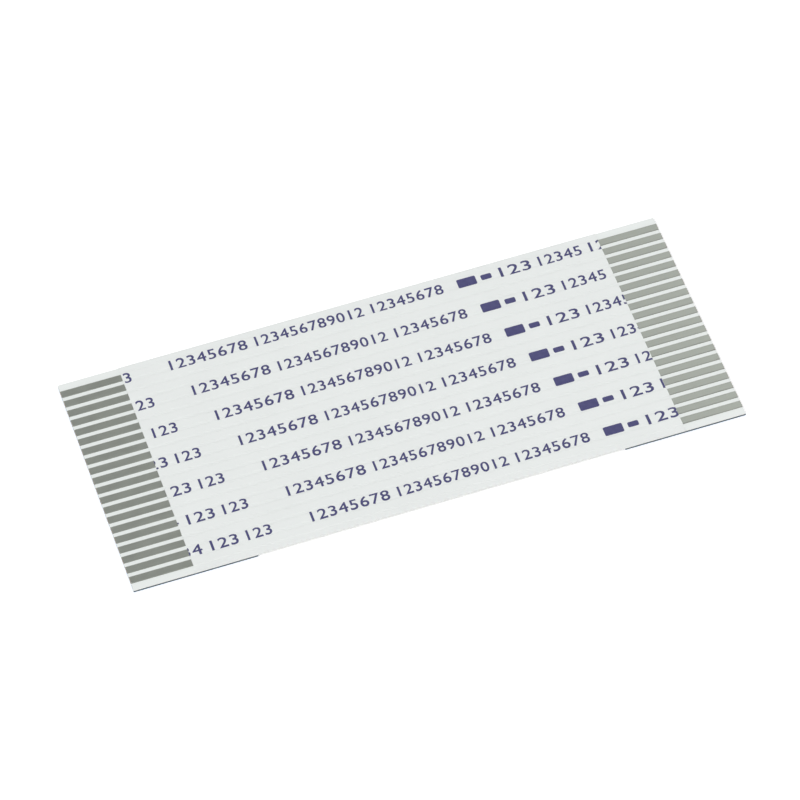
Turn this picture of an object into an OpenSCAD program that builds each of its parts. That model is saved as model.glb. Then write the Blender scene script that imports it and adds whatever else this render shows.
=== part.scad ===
// Flat flex cable jumper: flat tinned conductors side by side between two insulating films,
// bare contacts on the upper side of both ends, and a stiffener tape under each end.
// +X runs along the cable, +Y across it and +Z up, away from the stiffeners.
// The origin is under the middle of the cable, in the plane that the stiffeners lie on.

/* [Conductors] */
// Number of conductors side by side
ways = 20; // [4:1:40]
// Distance from one conductor to the next
pitch = 1; // [0.8:0.05:1.5]
// Width of one flat conductor
conductor_w = 0.65; // [0.3:0.05:0.75]
// Thickness of one flat conductor
conductor_t = 0.1; // [0.05:0.01:0.12]

/* [Cable] */
// Length of the cable from contact end to contact end
cable_l = 50; // [40:1:300]
// Length of bare contact at each end
contact_l = 5; // [3:0.5:8]
// Distance from the cable's long edge to the middle of the first conductor
edge_margin = 1; // [0.6:0.05:2]

/* [Films] */
// Thickness of one film in the webs between the conductors
film_t = 0.06; // [0.04:0.005:0.08]
// Thickness of one film over the flat of a conductor
cover_t = 0.04; // [0.03:0.005:0.06]
// Width of the film's slope from a ridge down to the web beside it
slope_w = 0.1; // [0.04:0.02:0.14]

/* [Stiffeners] */
// Length of each stiffener tape along the cable
stiffener_l = 10; // [6:0.5:14]
// Thickness of the stiffener tape under the webs
stiffener_t = 0.19; // [0.1:0.01:0.3]

/* [Print] */
// Distance from the far long edge to the middle of the first printed row
print_margin = 1.2; // [0.6:0.1:2]
// Distance from one printed row to the next
row_pitch = 2.97; // [2:0.01:5]
// Height of the printed marks
mark_h = 1; // [0.5:0.1:1.5]
// Distance from the left end of the cable to the first row's first full mark
print_start = 8.9; // [6:0.1:20]
// How far each row starts to the right of the row before it
row_shift = 1; // [0:0.1:2]
// Gap between one printed mark and the next
mark_gap = 0.7; // [0.4:0.1:1.2]
// Wider gap before the marks of a row repeat
repeat_gap = 3.2; // [1:0.1:8]
// Thickness of the ink
ink_t = 0.01; // [0.01:0.005:0.03]

/* [Hidden] */
// Length of each printed mark, in the order in which a row repeats them
MARKS = [6.4, 9, 6, 3.4, 2.6, 3.6, 3.2, 2.2, 2];
// Shortest piece of a mark that is still printed where the film ends
shortest_mark = 0.2;

width = (ways - 1) * pitch + 2 * edge_margin;
// The slope is limited by the gap between two conductors
slope = min(slope_w, 0.45 * (pitch - conductor_w));
// Heights above and below the middle plane, where the two films meet
web_h = film_t;
ridge_h = conductor_t / 2 + cover_t;
// Height of the middle plane above the plane that the stiffeners lie on
middle_z = stiffener_t + film_t;
// The upper film stops short of the contacts
window_l = cable_l - 2 * contact_l;
// The stiffeners lie under the two ends
stiffener_x = (cable_l - stiffener_l) / 2;
// As many rows as the width takes
rows = floor((width - print_margin - mark_h / 2) / row_pitch) + 1;
// Length after which the marks of a row repeat
print_repeat = mark_start(len(MARKS)) - mark_gap + repeat_gap;
first_repeat = -ceil((print_start + rows * row_shift) / print_repeat);
last_repeat = ceil(cable_l / print_repeat);

function conductor_y(i) = (i - (ways - 1) / 2) * pitch;
function row_y(row) = width / 2 - print_margin - row * row_pitch;
function mark_start(k) = k == 0 ? 0 : mark_start(k - 1) + MARKS[k - 1] + mark_gap;
function reversed(list) = [for (i = [len(list) - 1 : -1 : 0]) list[i]];
function conductor_name(i) = str("conductor_", i < 9 ? "0" : "", i + 1);

CONDUCTORS = [for (i = [0 : ways - 1]) conductor_name(i)];

// Outer face of a film from long edge to long edge: a ridge over each conductor and webs between.
// side is 1 for the upper film and -1 for the lower one, and lift moves the face outwards.
function face_points(side, lift = 0) = [
    [-width / 2, middle_z + side * (web_h + lift)],
    for (i = [0 : ways - 1]) each [
        [conductor_y(i) - conductor_w / 2 - slope, middle_z + side * (web_h + lift)],
        [conductor_y(i) - conductor_w / 2, middle_z + side * (ridge_h + lift)],
        [conductor_y(i) + conductor_w / 2, middle_z + side * (ridge_h + lift)],
        [conductor_y(i) + conductor_w / 2 + slope, middle_z + side * (web_h + lift)],
    ],
    [width / 2, middle_z + side * (web_h + lift)],
];

// Stands a section drawn across the cable up, and runs it from x0 to x1
module run(x0, x1) {
    translate([x0, 0, 0]) rotate([90, 0, 90]) linear_extrude(x1 - x0) children();
}

// Section of one conductor: rolled flat, with round edges
module conductor_section(i) {
    flat_w = conductor_w - conductor_t;
    translate([conductor_y(i), middle_z]) {
        square([flat_w, conductor_t], center = true);
        for (side = [-1, 1]) translate([side * flat_w / 2, 0]) circle(d = conductor_t, $fn = 24);
    }
}

// Section of one film: ridged outside, flat where the two films meet, with a seat for half of each
// conductor
module film_section(side) {
    difference() {
        polygon(concat(face_points(side), [[width / 2, middle_z], [-width / 2, middle_z]]));
        for (i = [0 : ways - 1]) conductor_section(i);
    }
}

// One flat conductor, as long as the cable
module conductor(i) {
    color([0.66, 0.67, 0.65]) run(-cable_l / 2, cable_l / 2) conductor_section(i);
}

// Upper film, between the contacts of the two ends
module film_top() {
    color([0.9, 0.91, 0.91]) run(-window_l / 2, window_l / 2) film_section(1);
}

// Lower film, from end to end
module film_bottom() {
    color([0.93, 0.93, 0.92]) run(-cable_l / 2, cable_l / 2) film_section(-1);
}

// Stiffener tape with a flat underside, bonded to the ridges and webs of the lower film
module stiffener(x) {
    color([0, 0.65, 0.88])
        run(x - stiffener_l / 2, x + stiffener_l / 2)
            polygon(concat(face_points(-1), [[width / 2, 0], [-width / 2, 0]]));
}

// Section of the ink of one row, which follows the ridges of the upper film
module ink_section(row) {
    intersection() {
        polygon(concat(face_points(1), reversed(face_points(1, ink_t))));
        translate([row_y(row) - mark_h / 2, 0]) square([mark_h, middle_z + ridge_h + 2 * ink_t]);
    }
}

// Printed rows on the upper film: plain marks, each row further along than the one before it
module print() {
    color([0.55, 0.54, 0.7])
        for (row = [0 : rows - 1], repeat = [first_repeat : last_repeat], k = [0 : len(MARKS) - 1]) {
            row_start = print_start + row * row_shift - cable_l / 2;
            start = row_start + repeat * print_repeat + mark_start(k);
            from = max(start, -window_l / 2);
            to = min(start + MARKS[k], window_l / 2);
            if (to - from > shortest_mark) run(from, to) ink_section(row);
        }
}

for (i = [0 : ways - 1])
    conductor(i);
film_top();
film_bottom();
stiffener(-stiffener_x);  // stiffener_left
stiffener(stiffener_x);  // stiffener_right
print();
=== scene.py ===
"""Looks of a flat flex cable jumper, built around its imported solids.

The cable lies flat with its bare contacts and its print up, and with a stiffener tape under each end.
+X runs along the cable, +Y across it and +Z up. Every piece is modelled in millimetres, so that each
cut and rounding is far larger than the smallest step of the modelling tools, and is brought to metres
when it is finished.
"""

import logging
import math
from collections.abc import Callable, Iterable
from dataclasses import dataclass, field
from enum import Enum

import bmesh
import bpy
from mathutils import Matrix, Vector


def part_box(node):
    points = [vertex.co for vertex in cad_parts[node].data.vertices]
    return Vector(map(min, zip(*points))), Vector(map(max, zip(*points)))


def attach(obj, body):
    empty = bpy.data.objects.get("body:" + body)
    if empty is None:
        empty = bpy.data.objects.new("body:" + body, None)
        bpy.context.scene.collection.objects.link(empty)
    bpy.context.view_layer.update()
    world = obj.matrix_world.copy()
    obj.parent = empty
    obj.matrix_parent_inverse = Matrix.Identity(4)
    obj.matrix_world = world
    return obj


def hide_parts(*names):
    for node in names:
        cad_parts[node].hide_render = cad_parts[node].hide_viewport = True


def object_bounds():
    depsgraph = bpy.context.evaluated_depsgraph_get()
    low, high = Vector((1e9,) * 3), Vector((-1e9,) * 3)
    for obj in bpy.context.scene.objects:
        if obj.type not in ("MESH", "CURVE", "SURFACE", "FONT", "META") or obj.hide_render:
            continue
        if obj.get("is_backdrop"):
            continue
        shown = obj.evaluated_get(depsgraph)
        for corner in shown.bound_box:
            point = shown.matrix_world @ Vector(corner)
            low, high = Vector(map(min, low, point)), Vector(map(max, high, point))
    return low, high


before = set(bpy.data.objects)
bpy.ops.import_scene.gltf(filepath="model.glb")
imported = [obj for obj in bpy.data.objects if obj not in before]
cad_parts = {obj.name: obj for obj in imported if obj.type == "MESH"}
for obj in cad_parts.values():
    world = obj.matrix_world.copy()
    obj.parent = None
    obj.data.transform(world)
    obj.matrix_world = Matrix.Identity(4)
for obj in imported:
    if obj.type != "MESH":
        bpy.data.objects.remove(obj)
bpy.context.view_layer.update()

LOG = logging.getLogger("flat_flex_cable")
# The one body of a cable without joints
BODY = "root"
# One millimetre in metres
MM = 0.001
# Differences below this, in millimetres, are taken as none
NEAR = 0.0005
# Faces that meet at less than this, in degrees, are shaded as one smooth surface
SMOOTH_ANGLE = 40

Triple = tuple[float, float, float]


class Slot(Enum):
    """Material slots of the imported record."""

    FILM = "white_film"
    TIN = "tinned_copper"
    TAPE = "blue_tape"
    INK = "ink"


class Side(Enum):
    """The side of the middle plane on which a film lies."""

    UPPER = 1
    LOWER = -1


# ---- Finishes -------------------------------------------------------------------------------------


class Nodes:
    """Adds and joins the nodes of one node tree, from left to right."""

    def __init__(self, tree: bpy.types.NodeTree) -> None:
        """Empties the tree.

        Args:
            tree: The node tree of a material, world or node group.
        """
        self.tree = tree
        self.tree.nodes.clear()

    def add(self, kind: str, **settings: object) -> bpy.types.Node:
        """Adds a node to the right of the last one.

        Args:
            kind: The node's type, such as ShaderNodeBump.
            settings: Properties of the node to set.

        Returns:
            The new node.
        """
        place = 220 * len(self.tree.nodes)
        node = self.tree.nodes.new(kind)
        node.location.x = place
        for name, value in settings.items():
            setattr(node, name, value)
        return node

    def feed(self, target: bpy.types.NodeSocket, source: object) -> None:
        """Links an output to an input, or writes a number into it.

        Args:
            target: The input.
            source: An output, or a number or vector.
        """
        if isinstance(source, bpy.types.NodeSocket):
            self.tree.links.new(source, target)
        else:
            target.default_value = source

    def math(self, operation: str, *values: object) -> bpy.types.NodeSocket:
        """Adds a Math node.

        Args:
            operation: The node's operation, such as MULTIPLY.
            values: Its outputs to read or numbers, in order.

        Returns:
            The node's output.
        """
        node = self.add("ShaderNodeMath", operation=operation)
        for socket, value in zip(node.inputs, values):
            self.feed(socket, value)
        return node.outputs["Value"]

    def between(
        self, source: bpy.types.NodeSocket, span: tuple[float, float], result: tuple[float, float]
    ) -> bpy.types.NodeSocket:
        """Maps a number from one range onto another and holds it there.

        Args:
            source: The number.
            span: Lowest and highest number that are told apart.
            result: What they become.

        Returns:
            The mapped number.
        """
        node = self.add("ShaderNodeMapRange")
        self.feed(node.inputs["Value"], source)
        for label, value in zip(("From Min", "From Max", "To Min", "To Max"), span + result):
            self.feed(node.inputs[label], value)
        return node.outputs["Result"]

    def blend(self, mask: bpy.types.NodeSocket, low: object, high: object) -> bpy.types.NodeSocket:
        """Mixes two colours.

        Args:
            mask: Runs from 0 for the first colour to 1 for the second.
            low: The first colour, or an output.
            high: The second colour, or an output.

        Returns:
            The mixed colour.
        """
        node = self.add("ShaderNodeMix", data_type="RGBA")
        # A Mix node has a factor, an A and a B for each kind of value, and these are the colour ones
        factor, first, second = node.inputs[0], node.inputs[6], node.inputs[7]
        self.feed(factor, mask)
        for socket, colour in ((first, low), (second, high)):
            self.feed(socket, (*colour, 1) if isinstance(colour, tuple) else colour)
        return node.outputs[2]


def start_group(name: str, numbers: dict[str, float], vectors: tuple[str, ...]) -> Nodes:
    """Starts a node group that turns places on the surface into a mask.

    Args:
        name: The group's name.
        numbers: Its number inputs, with their defaults.
        vectors: Its vector inputs.

    Returns:
        The group's nodes, the first of which is its input and the second its output.
    """
    tree = bpy.data.node_groups.new(name, "ShaderNodeTree")
    for label in vectors:
        tree.interface.new_socket(label, in_out="INPUT", socket_type="NodeSocketVector")
    for label, value in numbers.items():
        socket = tree.interface.new_socket(label, in_out="INPUT", socket_type="NodeSocketFloat")
        socket.default_value = value
    tree.interface.new_socket("Mask", in_out="OUTPUT", socket_type="NodeSocketFloat")
    nodes = Nodes(tree)
    nodes.add("NodeGroupInput")
    nodes.add("NodeGroupOutput")
    return nodes


def make_mottle() -> bpy.types.NodeTree:
    """Makes the soft blotches of pressed film, plating and ink.

    Returns:
        A group with the inputs Vector, Scale and Contrast and the output Mask.
    """
    nodes = start_group("mottle", {"Scale": 200.0, "Contrast": 1.0}, ("Vector",))
    source, sink = nodes.tree.nodes
    noise = nodes.add("ShaderNodeTexNoise")
    nodes.feed(noise.inputs["Vector"], source.outputs["Vector"])
    nodes.feed(noise.inputs["Scale"], source.outputs["Scale"])
    nodes.feed(noise.inputs["Detail"], 3.0)
    middled = nodes.math("SUBTRACT", noise.outputs["Fac"], 0.5)
    raised = nodes.math("MULTIPLY_ADD", middled, source.outputs["Contrast"], 0.5)
    raised.node.use_clamp = True
    nodes.feed(sink.inputs["Mask"], raised)
    return nodes.tree


def make_drawn_lines() -> bpy.types.NodeTree:
    """Makes the fine lines along the cable that rolling, laminating and printing leave.

    Returns:
        A group with the inputs Vector, Scale and Stretch and the output Mask.
    """
    nodes = start_group("drawn_lines", {"Scale": 4000.0, "Stretch": 0.01}, ("Vector",))
    source, sink = nodes.tree.nodes
    place = nodes.add("ShaderNodeSeparateXYZ")
    nodes.feed(place.inputs["Vector"], source.outputs["Vector"])
    drawn = nodes.add("ShaderNodeCombineXYZ")
    nodes.feed(drawn.inputs["X"], nodes.math("MULTIPLY", place.outputs["X"], source.outputs["Stretch"]))
    nodes.feed(drawn.inputs["Y"], place.outputs["Y"])
    nodes.feed(drawn.inputs["Z"], place.outputs["Z"])
    noise = nodes.add("ShaderNodeTexNoise")
    nodes.feed(noise.inputs["Vector"], drawn.outputs["Vector"])
    nodes.feed(noise.inputs["Scale"], source.outputs["Scale"])
    nodes.feed(noise.inputs["Detail"], 2.0)
    nodes.feed(sink.inputs["Mask"], noise.outputs["Fac"])
    return nodes.tree


def make_beyond() -> bpy.types.NodeTree:
    """Makes the mask of what lies beyond a distance from the middle, along one axis.

    Returns:
        A group with the inputs Vector, Axis, Distance and Softness and the output Mask.
    """
    nodes = start_group("beyond", {"Distance": 0.0, "Softness": 0.00001}, ("Vector", "Axis"))
    source, sink = nodes.tree.nodes
    along = nodes.add("ShaderNodeVectorMath", operation="DOT_PRODUCT")
    nodes.feed(along.inputs[0], source.outputs["Vector"])
    nodes.feed(along.inputs[1], source.outputs["Axis"])
    away = nodes.math("ABSOLUTE", along.outputs["Value"])
    past = nodes.math("SUBTRACT", away, source.outputs["Distance"])
    share = nodes.math("DIVIDE", past, source.outputs["Softness"])
    share.node.use_clamp = True
    nodes.feed(sink.inputs["Mask"], share)
    return nodes.tree


@dataclass(frozen=True)
class Effects:
    """The node groups that the finishes share."""

    mottle: bpy.types.NodeTree = field(default_factory=make_mottle)
    drawn_lines: bpy.types.NodeTree = field(default_factory=make_drawn_lines)
    beyond: bpy.types.NodeTree = field(default_factory=make_beyond)


@dataclass(frozen=True)
class Core:
    """The colour that a coated piece has past its coat, on a cut or on its inner face.

    Attributes:
        colour: Colour of the core.
        axis: Direction along which the distance is taken.
        distance: How far from the origin the core begins to show, in metres.
        softness: Distance over which the coat thins out, in metres.
        cover: How much of the core shows, from 0 to 1.
    """

    colour: Triple
    axis: Triple
    distance: float
    softness: float
    cover: float = 1.0


@dataclass(frozen=True)
class Finish:
    """A surface with blotches in its colour and gloss, and with fine lines along the cable.

    Attributes:
        name: The material's name.
        light: Colour of the light blotches.
        dark: Colour of the dark blotches.
        roughness: Lowest and highest roughness.
        mottle_scale: Blotches to the metre.
        line_scale: Lines to the metre, across the cable.
        line_stretch: Length of the lines, from 0 for endless to 1 for round spots.
        line_depth: Depth of the lines, in metres.
        line_tint: Share of the lines in the colour, from 0 to 1.
        metallic: 1 for bare metal and 0 for the rest.
        specular: How strongly the surface mirrors, where 0.5 is a plain plastic.
        core: What shows past the coat.
        mottle_contrast: How strongly the blotches stand out.
    """

    name: str
    light: Triple
    dark: Triple
    roughness: tuple[float, float]
    mottle_scale: float
    line_scale: float
    line_stretch: float
    line_depth: float
    line_tint: float = 0.2
    metallic: float = 0.0
    specular: float = 0.5
    core: Core | None = None
    mottle_contrast: float = 1.6

    def material(self, effects: Effects) -> bpy.types.Material:
        """Builds the finish's material.

        Args:
            effects: The shared node groups.

        Returns:
            The new material.
        """
        material = bpy.data.materials.new(self.name)
        material.use_nodes = True
        nodes = Nodes(material.node_tree)
        place = nodes.add("ShaderNodeTexCoord").outputs["Object"]

        blotches = self._effect(
            nodes, effects.mottle, place, Scale=self.mottle_scale, Contrast=self.mottle_contrast
        )
        lines = self._effect(
            nodes, effects.drawn_lines, place, Scale=self.line_scale, Stretch=self.line_stretch
        )
        tint = nodes.math("MULTIPLY", lines, self.line_tint)
        tone = nodes.math("MULTIPLY_ADD", blotches, 1 - self.line_tint, tint)
        colour = nodes.blend(tone, self.dark, self.light)
        if self.core:
            colour = self._show_core(nodes, effects, place, colour)
        bump = nodes.add("ShaderNodeBump")
        nodes.feed(bump.inputs["Distance"], self.line_depth)
        nodes.feed(bump.inputs["Height"], lines)

        shader = nodes.add("ShaderNodeBsdfPrincipled")
        nodes.feed(shader.inputs["Base Color"], colour)
        nodes.feed(shader.inputs["Roughness"], nodes.between(tone, (0.0, 1.0), self.roughness))
        nodes.feed(shader.inputs["Metallic"], self.metallic)
        nodes.feed(shader.inputs["Specular IOR Level"], self.specular)
        nodes.feed(shader.inputs["Normal"], bump.outputs["Normal"])
        output = nodes.add("ShaderNodeOutputMaterial")
        nodes.feed(output.inputs["Surface"], shader.outputs["BSDF"])
        return material

    def _effect(
        self,
        nodes: Nodes,
        group: bpy.types.NodeTree,
        place: bpy.types.NodeSocket,
        **values: object,
    ) -> bpy.types.NodeSocket:
        """Places a shared group in the material.

        Args:
            nodes: The material's nodes.
            group: The group.
            place: The place on the surface.
            values: The group's other inputs.

        Returns:
            The group's mask.
        """
        node = nodes.add("ShaderNodeGroup", node_tree=group)
        nodes.feed(node.inputs["Vector"], place)
        for label, value in values.items():
            nodes.feed(node.inputs[label], value)
        return node.outputs["Mask"]

    def _show_core(
        self,
        nodes: Nodes,
        effects: Effects,
        place: bpy.types.NodeSocket,
        coat: bpy.types.NodeSocket,
    ) -> bpy.types.NodeSocket:
        """Lets the core's colour show past the coat.

        Args:
            nodes: The material's nodes.
            effects: The shared node groups.
            place: The place on the surface.
            coat: The colour everywhere else.

        Returns:
            The colour all over.
        """
        core = self.core
        past = self._effect(
            nodes, effects.beyond, place,
            Axis=core.axis, Distance=core.distance, Softness=core.softness,
        )
        return nodes.blend(nodes.math("MULTIPLY", past, core.cover), coat, core.colour)


UPPER_FILM = Finish(
    name="white_polyester_upper_film",
    light=(0.774, 0.80, 0.789),
    dark=(0.744, 0.77, 0.759),
    roughness=(0.32, 0.42),
    mottle_scale=260.0,
    line_scale=5200.0,
    line_stretch=0.02,
    line_depth=0.0000012,
)
LOWER_FILM = Finish(
    name="white_polyester_lower_film",
    light=(0.828, 0.83, 0.807),
    dark=(0.798, 0.80, 0.777),
    roughness=(0.32, 0.42),
    mottle_scale=260.0,
    line_scale=5200.0,
    line_stretch=0.02,
    line_depth=0.0000012,
    core=Core((0.768, 0.80, 0.785), (0.0, 0.0, 1.0), 0.000235, 0.000005),
)
TINNED_COPPER = Finish(
    name="satin_tin_on_copper",
    light=(0.37, 0.392, 0.355),
    dark=(0.31, 0.33, 0.297),
    roughness=(0.32, 0.46),
    mottle_scale=900.0,
    line_scale=9000.0,
    line_stretch=0.012,
    line_depth=0.000002,
    line_tint=0.5,
    metallic=1.0,
    core=Core((0.80, 0.42, 0.27), (1.0, 0.0, 0.0), 0.024992, 0.000004, cover=0.75),
)
BLUE_TAPE = Finish(
    name="blue_coated_polyester_tape",
    light=(0.0, 0.385, 0.77),
    dark=(0.0, 0.355, 0.725),
    roughness=(0.28, 0.4),
    mottle_scale=300.0,
    line_scale=5200.0,
    line_stretch=0.02,
    line_depth=0.0000012,
    specular=0.1,
    # Partly painted shade: the tape's cut sides, and its face against the film, get a dark grey that is
    # much darker than the clear core's own pale grey, so that they look shaded and carry the shadow
    # under the tape's ends.
    core=Core((0.06, 0.078, 0.09), (0.0, 0.0, 1.0), 0.000028, 0.000006),
)
VIOLET_INK = Finish(
    name="violet_print_ink",
    light=(0.07, 0.068, 0.19),
    dark=(0.035, 0.034, 0.13),
    roughness=(0.5, 0.65),
    mottle_scale=2600.0,
    line_scale=5200.0,
    line_stretch=0.4,
    line_depth=0.0000004,
)


@dataclass(frozen=True)
class Palette:
    """The cable's materials, each made once."""

    upper_film: bpy.types.Material
    lower_film: bpy.types.Material
    tin: bpy.types.Material
    tape: bpy.types.Material
    ink: bpy.types.Material

    @classmethod
    def mix(cls) -> "Palette":
        """Makes all the materials over one set of shared node groups."""
        effects = Effects()
        finishes = (UPPER_FILM, LOWER_FILM, TINNED_COPPER, BLUE_TAPE, VIOLET_INK)
        return cls(*(finish.material(effects) for finish in finishes))


# ---- Modelling ------------------------------------------------------------------------------------


def corners(node: str) -> tuple[Vector, Vector]:
    """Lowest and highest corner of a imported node, in millimetres."""
    low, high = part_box(node)
    return Vector(low) / MM, Vector(high) / MM


class Piece:
    """One mesh under work, in millimetres, shaped with the tools of edit mode."""

    def __init__(self, name: str, obj: bpy.types.Object) -> None:
        """Names the object and its mesh.

        Args:
            name: The piece's name.
            obj: The mesh object to work on.
        """
        self.name = name
        self.obj = obj
        self.obj.name = name
        self.obj.data.name = name

    @staticmethod
    def clear() -> None:
        """Leaves edit mode and deselects everything."""
        if bpy.context.object and bpy.context.object.mode != "OBJECT":
            bpy.ops.object.mode_set(mode="OBJECT")
        bpy.ops.object.select_all(action="DESELECT")

    @classmethod
    def block(cls, name: str, low: Vector, high: Vector) -> "Piece":
        """Adds a block between two corners, to be shaped.

        Args:
            name: The piece's name.
            low: Lowest corner, in millimetres.
            high: Highest corner, in millimetres.

        Returns:
            The new piece.
        """
        cls.clear()
        bpy.ops.mesh.primitive_cube_add(size=1)
        piece = cls(name, bpy.context.object)
        piece.fit(low, high)
        return piece

    @classmethod
    def section(cls, name: str, low: Vector, high: Vector) -> "Piece":
        """Adds a flat section that stands across the cable, to be shaped and extruded.

        Args:
            name: The piece's name.
            low: Corner where the section starts, in millimetres.
            high: Corner across from it, of which only the width and height count.

        Returns:
            The new piece.
        """
        cls.clear()
        bpy.ops.mesh.primitive_plane_add(size=1, rotation=(0, math.radians(90), 0))
        piece = cls(name, bpy.context.object)
        bpy.ops.object.transform_apply(location=False, rotation=True, scale=False)
        piece.fit(low, high)
        return piece

    @classmethod
    def join(cls, name: str, pieces: list["Piece"]) -> "Piece":
        """Joins pieces into one object.

        Args:
            name: Name of the joined piece.
            pieces: The pieces.

        Returns:
            The joined piece.
        """
        pieces[0].activate()
        for piece in pieces:
            piece.obj.select_set(True)
        bpy.ops.object.join()
        return cls(name, bpy.context.object)

    def box(self) -> tuple[Vector, Vector]:
        """Lowest and highest corner of the mesh."""
        places = [vertex.co for vertex in self.obj.data.vertices]
        low = Vector(min(place[axis] for place in places) for axis in range(3))
        high = Vector(max(place[axis] for place in places) for axis in range(3))
        return low, high

    def fit(self, low: Vector, high: Vector) -> None:
        """Stretches and moves the mesh into a box, and leaves a flat side flat.

        Args:
            low: The box's lowest corner.
            high: The box's highest corner.
        """
        self.activate()
        old_low, old_high = self.box()
        for axis in range(3):
            span = old_high[axis] - old_low[axis]
            stretch = (high[axis] - low[axis]) / span if span > NEAR else 1.0
            self.obj.scale[axis] = stretch
            self.obj.location[axis] = low[axis] - old_low[axis] * stretch
        bpy.ops.object.transform_apply(location=True, rotation=True, scale=True)

    def activate(self) -> None:
        """Makes this piece the only one selected."""
        self.clear()
        self.obj.select_set(True)
        bpy.context.view_layer.objects.active = self.obj

    def open(self) -> None:
        """Enters edit mode on this piece alone."""
        self.activate()
        bpy.ops.object.mode_set(mode="EDIT")

    def pick_points(self, wanted: Callable[[Vector], bool]) -> None:
        """Selects vertices by their place, in edit mode.

        Args:
            wanted: Says whether a place is selected.
        """
        bpy.ops.mesh.select_mode(type="VERT")
        bpy.ops.mesh.select_all(action="DESELECT")
        mesh = bmesh.from_edit_mesh(self.obj.data)
        for vertex in mesh.verts:
            vertex.select_set(wanted(vertex.co))
        bmesh.update_edit_mesh(self.obj.data)

    def pick_edges(self, wanted: Callable[[Vector, Vector], bool]) -> None:
        """Selects edges by the places of their two ends, in edit mode.

        Args:
            wanted: Says whether an edge between two places is selected.
        """
        bpy.ops.mesh.select_mode(type="EDGE")
        bpy.ops.mesh.select_all(action="DESELECT")
        mesh = bmesh.from_edit_mesh(self.obj.data)
        for edge in mesh.edges:
            if wanted(edge.verts[0].co, edge.verts[1].co):
                edge.select_set(True)
        bmesh.update_edit_mesh(self.obj.data)

    def cut_along(self, lines: Iterable[float]) -> None:
        """Cuts the mesh lengthwise, in edit mode.

        Args:
            lines: Where the cuts lie across the cable.
        """
        for line in lines:
            bpy.ops.mesh.select_all(action="SELECT")
            bpy.ops.mesh.bisect(plane_co=(0, line, 0), plane_no=(0, 1, 0), threshold=NEAR / 10)

    def trim(self, x: float, outwards: int) -> None:
        """Takes away what lies past a place along the cable and closes the cut, in edit mode.

        Args:
            x: The place.
            outwards: 1 where what lies past it is towards +X, and -1 towards -X.
        """
        bpy.ops.mesh.select_all(action="SELECT")
        bpy.ops.mesh.bisect(
            plane_co=(x, 0, 0),
            plane_no=(outwards, 0, 0),
            use_fill=True,
            clear_outer=True,
            threshold=NEAR / 10,
        )

    def move(self, offset: Vector) -> None:
        """Moves what is selected, in edit mode."""
        bpy.ops.transform.translate(value=offset)

    def run(self, length: float) -> None:
        """Makes the section one face and extrudes it along the cable, in edit mode.

        Args:
            length: How far it is extruded.
        """
        bpy.ops.mesh.select_mode(type="FACE")
        bpy.ops.mesh.select_all(action="SELECT")
        bpy.ops.mesh.dissolve_faces()
        bpy.ops.mesh.extrude_region_move(TRANSFORM_OT_translate={"value": (length, 0, 0)})

    def round_off(self, width: float, segments: int) -> None:
        """Bevels the selected edges, in edit mode.

        Args:
            width: Distance from each edge to where its rounding starts.
            segments: Facets of the rounding.
        """
        bpy.ops.mesh.bevel(offset=width, segments=segments, profile=0.5, clamp_overlap=True)

    def merge(self, distance: float) -> None:
        """Merges the vertices that lie together and points the faces outwards, in edit mode.

        Args:
            distance: How far apart they may lie.
        """
        bpy.ops.mesh.select_mode(type="VERT")
        bpy.ops.mesh.select_all(action="SELECT")
        bpy.ops.mesh.remove_doubles(threshold=distance)
        bpy.ops.mesh.normals_make_consistent(inside=False)

    def close(self) -> None:
        """Merges doubles, points the faces outwards and leaves edit mode."""
        self.merge(NEAR / 5)
        bpy.ops.object.mode_set(mode="OBJECT")

    def copy_to(self, name: str, offset: Vector) -> "Piece":
        """Copies the piece with a mesh of its own.

        Args:
            name: The copy's name.
            offset: Where the copy lies from this piece.

        Returns:
            The copy.
        """
        twin = self.obj.copy()
        twin.data = self.obj.data.copy()
        bpy.context.scene.collection.objects.link(twin)
        twin.data.transform(Matrix.Translation(offset))
        return Piece(name, twin)

    def finish(self, material: bpy.types.Material, slot: Slot, node: str) -> None:
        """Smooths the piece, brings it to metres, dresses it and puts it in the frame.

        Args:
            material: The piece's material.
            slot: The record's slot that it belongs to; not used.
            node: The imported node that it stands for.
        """
        self.activate()
        bpy.ops.object.shade_smooth_by_angle(angle=math.radians(SMOOTH_ANGLE))
        bpy.ops.object.modifier_add(type="WEIGHTED_NORMAL")
        weighted = self.obj.modifiers[-1]
        weighted.keep_sharp = True
        bpy.ops.object.modifier_apply(modifier=weighted.name)
        self.obj.scale = (MM, MM, MM)
        bpy.ops.object.transform_apply(location=True, rotation=True, scale=True)
        self.obj.data.materials.clear()
        self.obj.data.materials.append(material)
        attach(self.obj, BODY)
        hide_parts(node)
        LOG.info("%s: %d faces", self.name, len(self.obj.data.polygons))


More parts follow.
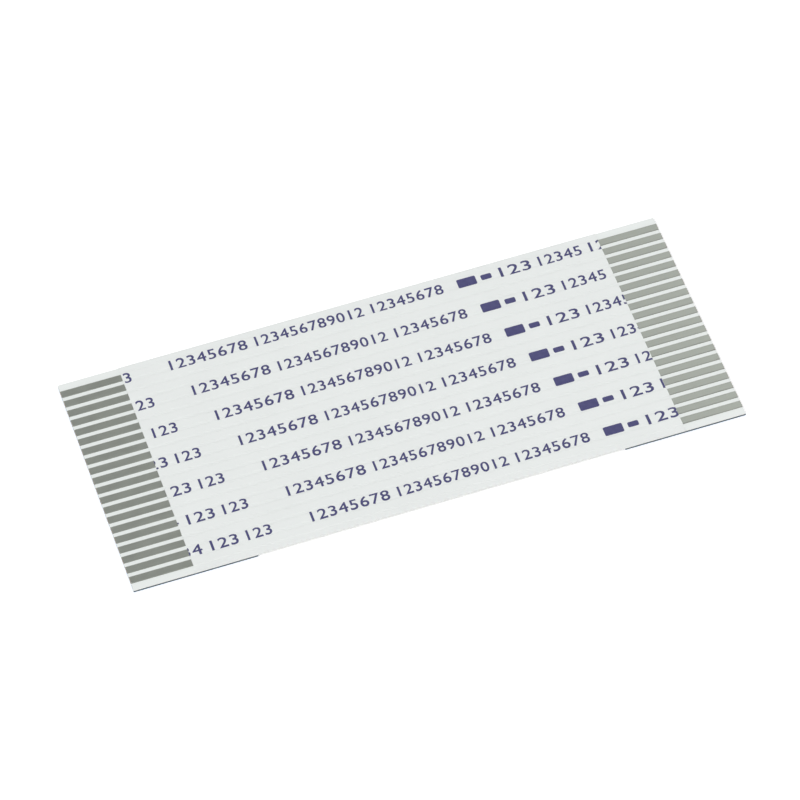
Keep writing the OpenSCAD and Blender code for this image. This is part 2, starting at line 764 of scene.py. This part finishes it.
@dataclass(frozen=True)
class Section:
    """The section across the cable, in millimetres.

    Attributes:
        names: Names of the conductors, from -Y to +Y.
        centres: Where each conductor lies across the cable.
        conductor_w: Width of a conductor.
        conductor_t: Thickness of a conductor.
        middle: Height of the plane where the two films meet.
        ridge: Height of a film's ridges over that plane.
        web: Thickness of a film between the conductors.
        slope: Width of the slope from a ridge down to the web beside it.
    """

    names: tuple[str, ...]
    centres: tuple[float, ...]
    conductor_w: float
    conductor_t: float
    middle: float
    ridge: float
    web: float
    slope: float = 0.1

    @classmethod
    def measure(cls) -> "Section":
        """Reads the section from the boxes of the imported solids."""
        names = tuple(sorted(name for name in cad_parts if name.startswith("conductor_")))
        low, high = corners(names[0])
        middle = (low.z + high.z) / 2
        return cls(
            names=names,
            centres=tuple(sum(corner.y for corner in corners(name)) / 2 for name in names),
            conductor_w=high.y - low.y,
            conductor_t=high.z - low.z,
            middle=middle,
            ridge=corners("film_top")[1].z - middle,
            web=middle - corners("stiffener_left")[1].z,
        )

    @property
    def radius(self) -> float:
        """Radius of a conductor's rolled edges."""
        return self.conductor_t / 2

    def off_centre(self, y: float) -> float:
        """Distance from a place across the cable to the middle of the nearest conductor."""
        return min(abs(y - centre) for centre in self.centres)

    def on_ridge(self, y: float) -> bool:
        """Says whether a place across the cable lies on the flat of a ridge."""
        return self.off_centre(y) < self.conductor_w / 2 + NEAR

    def on_web(self, y: float) -> bool:
        """Says whether a place across the cable lies on a web."""
        return self.off_centre(y) > self.conductor_w / 2 + self.slope - NEAR

    def folds(self) -> list[float]:
        """Places across the cable where the flat of a ridge or its slope ends."""
        half = self.conductor_w / 2
        steps = (-half - self.slope, -half, half, half + self.slope)
        return [centre + step for centre in self.centres for step in steps]

    def on_fold(self, y: float) -> bool:
        """Says whether a place across the cable lies on a fold."""
        return min(abs(y - fold) for fold in self.folds()) < NEAR

    def height(self, y: float) -> float:
        """Height of a film's outer face over the middle plane.

        Args:
            y: The place across the cable.

        Returns:
            The height.
        """
        past = self.off_centre(y) - self.conductor_w / 2
        share = min(max(past / self.slope, 0), 1)
        return self.ridge + (self.web - self.ridge) * share


def lengthwise(a: Vector, b: Vector) -> bool:
    """Says whether an edge runs along the cable."""
    return abs(a.x - b.x) > 1 and abs(a.y - b.y) < NEAR


def shared(axis: int, places: Iterable[float], a: Vector, b: Vector) -> bool:
    """Says whether both ends of an edge lie at one of some places along an axis."""
    return any(abs(a[axis] - place) < NEAR and abs(b[axis] - place) < NEAR for place in places)


@dataclass
class Film:
    """One insulating film, with ridges outside and seats for the conductors inside.

    Attributes:
        node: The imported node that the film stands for.
        side: The side of the middle plane on which it lies.
        section: The cable's section.
        fold_round: Rounding of the folds of the ridges, in millimetres.
        rim_round: Rounding of the cut ends and sides.
        facets: Facets of each rounding.
    """

    node: str
    side: Side
    section: Section
    fold_round: float = 0.045
    rim_round: float = 0.012
    facets: int = 3

    def build(self) -> Piece:
        """Shapes the film's section, runs it along the cable and rounds its edges.

        Returns:
            The film.
        """
        section = self.section
        low, high = corners(self.node)
        ends, sides = (low.x, high.x), (low.y, high.y)
        inner, outer = section.middle, section.middle + self.side.value * section.web
        start = Vector((low.x, low.y, min(inner, outer)))
        film = Piece.section(f"{self.node}_skin", start, Vector((low.x, high.y, max(inner, outer))))
        film.open()
        film.cut_along(section.folds())
        film.pick_points(lambda p: abs(p.z - outer) < NEAR and section.on_ridge(p.y))
        film.move(self._outwards(section.ridge - section.web))
        self._press_seats(film)
        film.run(high.x - low.x)
        film.pick_edges(lambda a, b: (
            lengthwise(a, b) and self._outside(a) and self._outside(b) and section.on_fold(a.y)
        ))
        film.round_off(self.fold_round, self.facets)
        film.pick_edges(lambda a, b: (
            self._outside(a) and self._outside(b) and (shared(0, ends, a, b) or shared(1, sides, a, b))
        ))
        film.round_off(self.rim_round, self.facets)
        film.close()
        return film

    def dress(self, film: Piece, palette: Palette) -> None:
        """Gives the film its finish."""
        material = palette.upper_film if self.side is Side.UPPER else palette.lower_film
        film.finish(material, Slot.FILM, self.node)

    def _outwards(self, distance: float) -> Vector:
        """A move away from the middle plane."""
        return Vector((0, 0, self.side.value * distance))

    def _outside(self, point: Vector) -> bool:
        """Says whether a point lies on the film's outer face."""
        return abs(point.z - self.section.middle) > self.section.web - NEAR

    def _press_seats(self, film: Piece) -> None:
        """Presses a seat with round edges into the inner face for each conductor.

        Args:
            film: The film's section, in edit mode.
        """
        section = self.section
        radius = section.radius
        for angle in (30, 60, 90):
            inset = radius * (1 - math.cos(math.radians(angle)))
            depth = radius * math.sin(math.radians(angle))
            half = section.conductor_w / 2 - inset
            film.cut_along(centre + sign * half for centre in section.centres for sign in (-1, 1))
            reach = half + NEAR if angle == 90 else NEAR
            film.pick_points(lambda p: (
                abs(p.z - section.middle) < NEAR
                and abs(section.off_centre(p.y) - (0 if angle == 90 else half)) < reach
            ))
            film.move(self._outwards(depth))


@dataclass
class Stiffener:
    """A tape under one end, bonded to the lower film's ridges.

    Attributes:
        node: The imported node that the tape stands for.
        section: The cable's section.
        show_through: How far the underside stays back between the ridges, in millimetres.
        fold_round: Rounding where it starts to stay back.
        rim_round: Rounding of the underside's edges.
        facets: Facets of each rounding.
    """

    node: str
    section: Section
    show_through: float = 0.012
    fold_round: float = 0.045
    rim_round: float = 0.02
    facets: int = 3

    def build(self) -> Piece:
        """Shapes the tape's section, runs it along the cable and rounds its edges.

        Returns:
            The tape.
        """
        section = self.section
        low, high = corners(self.node)
        ends, sides = (low.x, high.x), (low.y, high.y)
        tape = Piece.section(f"{self.node}_tape", low, Vector((low.x, high.y, high.z)))
        tape.open()
        tape.cut_along(section.folds())
        tape.pick_points(lambda p: abs(p.z - high.z) < NEAR and section.on_ridge(p.y))
        tape.move(Vector((0, 0, section.web - section.ridge)))
        tape.pick_points(lambda p: abs(p.z - low.z) < NEAR and section.on_web(p.y))
        tape.move(Vector((0, 0, self.show_through)))
        tape.run(high.x - low.x)
        tape.pick_edges(lambda a, b: (
            lengthwise(a, b) and self._under(a) and self._under(b) and section.on_fold(a.y)
        ))
        tape.round_off(self.fold_round, self.facets)
        tape.pick_edges(lambda a, b: (
            self._under(a) and self._under(b) and (shared(0, ends, a, b) or shared(1, sides, a, b))
        ))
        tape.round_off(self.rim_round, self.facets)
        tape.close()
        return tape

    def dress(self, tape: Piece, palette: Palette) -> None:
        """Gives the tape its finish."""
        tape.finish(palette.tape, Slot.TAPE, self.node)

    def _under(self, point: Vector) -> bool:
        """Says whether a point lies on the tape's underside."""
        return point.z < self.show_through + NEAR


@dataclass
class Conductors:
    """The flat tinned conductors, rolled with round edges and sheared at both ends.

    Attributes:
        section: The cable's section.
        roll_share: Share of the radius that is rounded, which keeps a sliver of side face.
        roll_facets: Facets of each rolled edge.
        burr_round: Rounding of the sheared ends, in millimetres.
        burr_facets: Facets of that rounding.
    """

    section: Section
    roll_share: float = 0.98
    roll_facets: int = 5
    burr_round: float = 0.012
    burr_facets: int = 3

    def build(self) -> list[Piece]:
        """Models the first conductor and copies it to the places of the others.

        Returns:
            The conductors, in the order of the section's names.
        """
        names, centres = self.section.names, self.section.centres
        low, high = corners(names[0])
        first = Piece.block(f"{names[0]}_strip", low, high)
        first.open()
        first.pick_edges(lengthwise)
        first.round_off(self.section.radius * self.roll_share, self.roll_facets)
        first.pick_edges(lambda a, b: shared(0, (low.x, high.x), a, b))
        first.round_off(self.burr_round, self.burr_facets)
        first.close()
        strips = [first]
        for name, centre in zip(names[1:], centres[1:]):
            strips.append(first.copy_to(f"{name}_strip", Vector((0, centre - centres[0], 0))))
        return strips

    def dress(self, strips: list[Piece], palette: Palette) -> None:
        """Gives the conductors their finish."""
        for strip, name in zip(strips, self.section.names):
            strip.finish(palette.tin, Slot.TIN, name)


@dataclass
class Print:
    """Rows of plain running digits on the upper film, in groups.

    Each row repeats one pattern of groups and starts a little further along than the row before it.
    A plain block with a short bar stands among the digits. The film's ends cut the rows off.

    Attributes:
        section: The cable's section.
        groups: Length of each group in the order of the pattern, in millimetres.
        block_at: Which group is the block with its bar.
        block: Where the block starts and stops along its group, and its height, as shares.
        bar: The same of the bar.
        corner: Rounding of the corners of both, as a share of the digits' height.
        gap: Gap between two groups.
        repeat_gap: Wider gap before the pattern repeats.
        start: Where the first row's pattern starts, from the cable's left end.
        shift: How far each row starts beyond the row before it.
        row_pitch: Distance between two rows.
        margin: Distance from the film's far edge to the middle of the first row.
        mark_h: Height of the digits.
        digit_w: Room for one digit along the row, which gives the number of digits in a group.
        spacing: Room between the digits, where 1 is the lettering's own.
        boldness: How far the outlines of the digits are fattened, in the lettering's own unit.
        proud: How far the ink stands over the film.
        sunk: How far the ink reaches into the film.
    """

    section: Section
    groups: tuple[float, ...] = (6.4, 9.0, 6.0, 3.4, 2.6, 3.6, 3.2, 2.2, 2.0)
    block_at: int = 3
    block: Triple = (0.16, 0.62, 0.86)
    bar: Triple = (0.74, 1.0, 0.5)
    corner: float = 0.12
    gap: float = 0.7
    repeat_gap: float = 3.2
    start: float = 8.9
    shift: float = 1.0
    row_pitch: float = 2.97
    margin: float = 1.2
    mark_h: float = 1.0
    digit_w: float = 0.78
    spacing: float = 1.1
    boldness: float = 0.0125
    proud: float = 0.008
    sunk: float = 0.004

    @property
    def repeat(self) -> float:
        """Length after which the pattern repeats."""
        return sum(self.groups) + (len(self.groups) - 1) * self.gap + self.repeat_gap

    @property
    def ink_t(self) -> float:
        """Thickness of the ink."""
        return self.proud + self.sunk

    def build(self) -> Piece:
        """Models the pattern once, copies it to every row and lays the rows on the film.

        Returns:
            The print of all the rows.
        """
        pattern = self._pattern()
        low, high = corners("film_top")
        left = corners("film_bottom")[0].x
        count = int((high.y - low.y - self.margin - self.mark_h / 2) / self.row_pitch) + 1
        rows = []
        for row in range(count):
            y = high.y - self.margin - row * self.row_pitch
            for repeat in (-1, 0):
                x = left + self.start + row * self.shift + repeat * self.repeat
                rows.append(pattern.copy_to(f"row_{row + 1}", Vector((x, y, 0))))
                self._lay(rows[-1], low.x, high.x, y)
        bpy.data.objects.remove(pattern.obj)
        return Piece.join("print_rows", rows)

    def dress(self, rows: Piece, palette: Palette) -> None:
        """Gives the print its finish."""
        rows.finish(palette.ink, Slot.INK, "print")

    def _pattern(self) -> Piece:
        """Models one pattern of groups, which starts at the origin and is centred on Y and Z."""
        parts = []
        x = 0.0
        for number, length in enumerate(self.groups):
            parts += self._block(x, length) if number == self.block_at else [self._digits(x, length)]
            x += length + self.gap
        pattern = Piece.join("pattern", parts)
        pattern.open()
        pattern.close()
        return pattern

    def _digits(self, x: float, length: float) -> Piece:
        """Models a group of digits that count up from one.

        Args:
            x: Where the group starts along the row.
            length: Length of the group.

        Returns:
            The group.
        """
        Piece.clear()
        bpy.ops.object.text_add()
        text = bpy.context.object
        count = max(round(length / self.digit_w), 2)
        text.data.body = "".join(str(number % 10) for number in range(1, count + 1))
        text.data.space_character = self.spacing
        text.data.extrude = self.ink_t / 2
        text.data.resolution_u = 3
        bpy.ops.object.convert(target="MESH")
        piece = Piece(f"digits_{count}", bpy.context.object)
        piece.open()
        piece.merge(self.boldness / 2)
        bpy.ops.transform.shrink_fatten(value=self.boldness, use_even_offset=True)
        piece.close()
        # Fattening also pushes the two flat faces apart, and they are brought back here
        for vertex in piece.obj.data.vertices:
            vertex.co.z = math.copysign(self.ink_t / 2, vertex.co.z)
        reach = Vector((0, self.mark_h / 2, self.ink_t / 2))
        piece.fit(Vector((x, 0, 0)) - reach, Vector((x + length, 0, 0)) + reach)
        return piece

    def _block(self, x: float, length: float) -> list[Piece]:
        """Models the plain block and the short bar after it.

        Args:
            x: Where they start along the row.
            length: Length that they take together.

        Returns:
            The block and the bar.
        """
        parts = []
        for name, (start, stop, share) in (("block", self.block), ("bar", self.bar)):
            reach = Vector((0, share * self.mark_h / 2, self.ink_t / 2))
            low = Vector((x + start * length, 0, 0)) - reach
            high = Vector((x + stop * length, 0, 0)) + reach
            part = Piece.block(name, low, high)
            part.open()
            part.pick_edges(lambda a, b: abs(a.z - b.z) > NEAR)
            part.round_off(self.corner * self.mark_h, 3)
            part.close()
            parts.append(part)
        return parts

    def _lay(self, row: Piece, left: float, right: float, y: float) -> None:
        """Cuts a row off where the film ends, and lays it over the ridges.

        Args:
            row: The row.
            left: The film's left end.
            right: The film's right end.
            y: The middle of the row across the cable.
        """
        row.open()
        row.trim(left, -1)
        row.trim(right, 1)
        row.cut_along(fold for fold in self.section.folds() if abs(fold - y) < self.mark_h / 2)
        row.close()
        middle = self.section.middle + (self.proud - self.sunk) / 2
        for vertex in row.obj.data.vertices:
            vertex.co.z += middle + self.section.height(vertex.co.y)


@dataclass
class Cable:
    """The whole cable: conductors between two films, stiffeners under its ends, and the print."""

    section: Section = field(default_factory=Section.measure)
    palette: Palette = field(default_factory=Palette.mix)

    def parts(self) -> list[Conductors | Film | Stiffener | Print]:
        """The cable's sub-assemblies, from the inside out."""
        return [
            Conductors(self.section),
            Film("film_bottom", Side.LOWER, self.section),
            Film("film_top", Side.UPPER, self.section),
            Stiffener("stiffener_left", self.section),
            Stiffener("stiffener_right", self.section),
            Print(self.section),
        ]

    def build(self) -> None:
        """Builds and dresses every sub-assembly."""
        for part in self.parts():
            part.dress(part.build(), self.palette)


# ---- Studio ---------------------------------------------------------------------------------------


@dataclass(frozen=True)
class Lamp:
    """A square soft lamp that looks at the cable.

    Attributes:
        name: The lamp's name.
        place: Where it hangs, in metres.
        width: Width of its square, in metres.
        power: Power in watts.
    """

    name: str
    place: Triple
    width: float
    power: float

    def hang(self) -> None:
        """Adds the lamp and turns it to the cable."""
        data = bpy.data.lights.new(self.name, "AREA")
        data.size = self.width
        data.energy = self.power
        lamp = bpy.data.objects.new(self.name, data)
        bpy.context.scene.collection.objects.link(lamp)
        lamp.location = self.place
        lamp.rotation_euler = (-Vector(self.place)).to_track_quat("-Z", "Y").to_euler()


@dataclass(frozen=True)
class Studio:
    """A white floor under a soft sky, with the lamps and the camera.

    Attributes:
        lamps: The lamps.
        floor_size: Width of the floor, in metres.
        floor_gap: How far the floor lies under the cable, in millimetres.
        floor_colour: How light the floor is.
        floor_lift: Light that the floor adds for the eye alone, round the cable and far from it.
        floor_reach: Distances from the cable between which that light grows, in metres.
        sky_low: Brightness of the sky at the horizon.
        sky_high: Brightness of the sky overhead.
        sky_fade: Heights between which the one passes into the other, where 1 is overhead.
        azimuth: Where the camera stands round the cable, in degrees; 0 looks along +Y.
        elevation: How far it looks down, in degrees.
        roll: How far it is turned about its own line of sight, in degrees.
        distance: Distance from the camera to the middle of the cable, in metres.
        lens: Focal length, in millimetres.
        clip: Nearest and furthest distance that the camera sees, in metres.
    """

    lamps: tuple[Lamp, ...] = (
        Lamp("key", (-0.5, -0.45, 0.85), 0.6, 6.5),
        Lamp("back", (0.55, 0.55, 0.8), 0.5, 2.4),
    )
    floor_size: float = 8.0
    floor_gap: float = 0.01
    floor_colour: float = 0.93
    floor_lift: tuple[float, float] = (0.3, 1.0)
    floor_reach: tuple[float, float] = (0.08, 0.6)
    sky_low: float = 1.0
    sky_high: float = 0.44
    sky_fade: tuple[float, float] = (0.1, 0.6)
    azimuth: float = -15.93
    elevation: float = 52.7
    roll: float = -3.16
    distance: float = 0.4048
    lens: float = 232.0
    clip: tuple[float, float] = (0.01, 20.0)

    def build(self) -> None:
        """Adds the floor, sky, lamps and camera."""
        self._floor()
        self._sky()
        for lamp in self.lamps:
            lamp.hang()
        self._camera()
        bpy.context.scene.view_settings.view_transform = "Standard"

    def _floor(self) -> None:
        """Adds the floor, just under what the cable lies on."""
        Piece.clear()
        bpy.ops.mesh.primitive_plane_add(size=self.floor_size, location=(0, 0, -self.floor_gap * MM))
        floor = bpy.context.object
        floor.name = "floor"
        material = bpy.data.materials.new("white_floor")
        material.use_nodes = True
        nodes = Nodes(material.node_tree)
        diffuse = nodes.add("ShaderNodeBsdfDiffuse")
        diffuse.inputs["Color"].default_value = (*(self.floor_colour,) * 3, 1)
        path = nodes.add("ShaderNodeLightPath")
        seen = nodes.math("MAXIMUM", path.outputs["Is Camera Ray"], path.outputs["Is Glossy Ray"])
        seen = nodes.math("MAXIMUM", seen, path.outputs["Is Transmission Ray"])
        away = nodes.add("ShaderNodeVectorMath", operation="LENGTH")
        nodes.feed(away.inputs["Vector"], nodes.add("ShaderNodeTexCoord").outputs["Object"])
        lift = nodes.between(away.outputs["Value"], self.floor_reach, self.floor_lift)
        glow = nodes.add("ShaderNodeEmission")
        nodes.feed(glow.inputs["Strength"], nodes.math("MULTIPLY", seen, lift))
        both = nodes.add("ShaderNodeAddShader")
        nodes.feed(both.inputs[0], diffuse.outputs["BSDF"])
        nodes.feed(both.inputs[1], glow.outputs["Emission"])
        output = nodes.add("ShaderNodeOutputMaterial")
        nodes.feed(output.inputs["Surface"], both.outputs["Shader"])
        floor.data.materials.append(material)
        floor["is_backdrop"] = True

    def _sky(self) -> None:
        """Makes a sky that is white at the horizon and greyer overhead."""
        world = bpy.data.worlds.new("soft_sky")
        world.use_nodes = True
        nodes = Nodes(world.node_tree)
        direction = nodes.add("ShaderNodeTexCoord").outputs["Generated"]
        parts = nodes.add("ShaderNodeSeparateXYZ")
        nodes.feed(parts.inputs["Vector"], direction)
        strength = nodes.between(parts.outputs["Z"], self.sky_fade, (self.sky_low, self.sky_high))
        strength.node.interpolation_type = "SMOOTHSTEP"
        background = nodes.add("ShaderNodeBackground")
        nodes.feed(background.inputs["Color"], (1.0, 1.0, 1.0, 1.0))
        nodes.feed(background.inputs["Strength"], strength)
        output = nodes.add("ShaderNodeOutputWorld")
        nodes.feed(output.inputs["Surface"], background.outputs["Background"])
        bpy.context.scene.world = world

    def _camera(self) -> None:
        """Adds the camera and aims it at the middle of the cable."""
        low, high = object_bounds()
        azimuth, elevation = math.radians(self.azimuth), math.radians(self.elevation)
        back = Vector((
            math.sin(azimuth) * math.cos(elevation),
            -math.cos(azimuth) * math.cos(elevation),
            math.sin(elevation),
        ))
        data = bpy.data.cameras.new("camera")
        data.lens = self.lens
        data.clip_start, data.clip_end = self.clip
        camera = bpy.data.objects.new("camera", data)
        bpy.context.scene.collection.objects.link(camera)
        camera.location = (Vector(low) + Vector(high)) / 2 + back * self.distance
        aim = (-back).to_track_quat("-Z", "Y")
        turn = Matrix.Rotation(math.radians(self.roll), 3, "Z").to_quaternion()
        camera.rotation_euler = (aim @ turn).to_euler()
        bpy.context.scene.camera = camera


def main() -> None:
    """Builds the cable and the studio."""
    logging.basicConfig(level=logging.INFO, format="%(name)s: %(message)s")
    Cable().build()
    Studio().build()


if __name__ == "__main__":
    main()
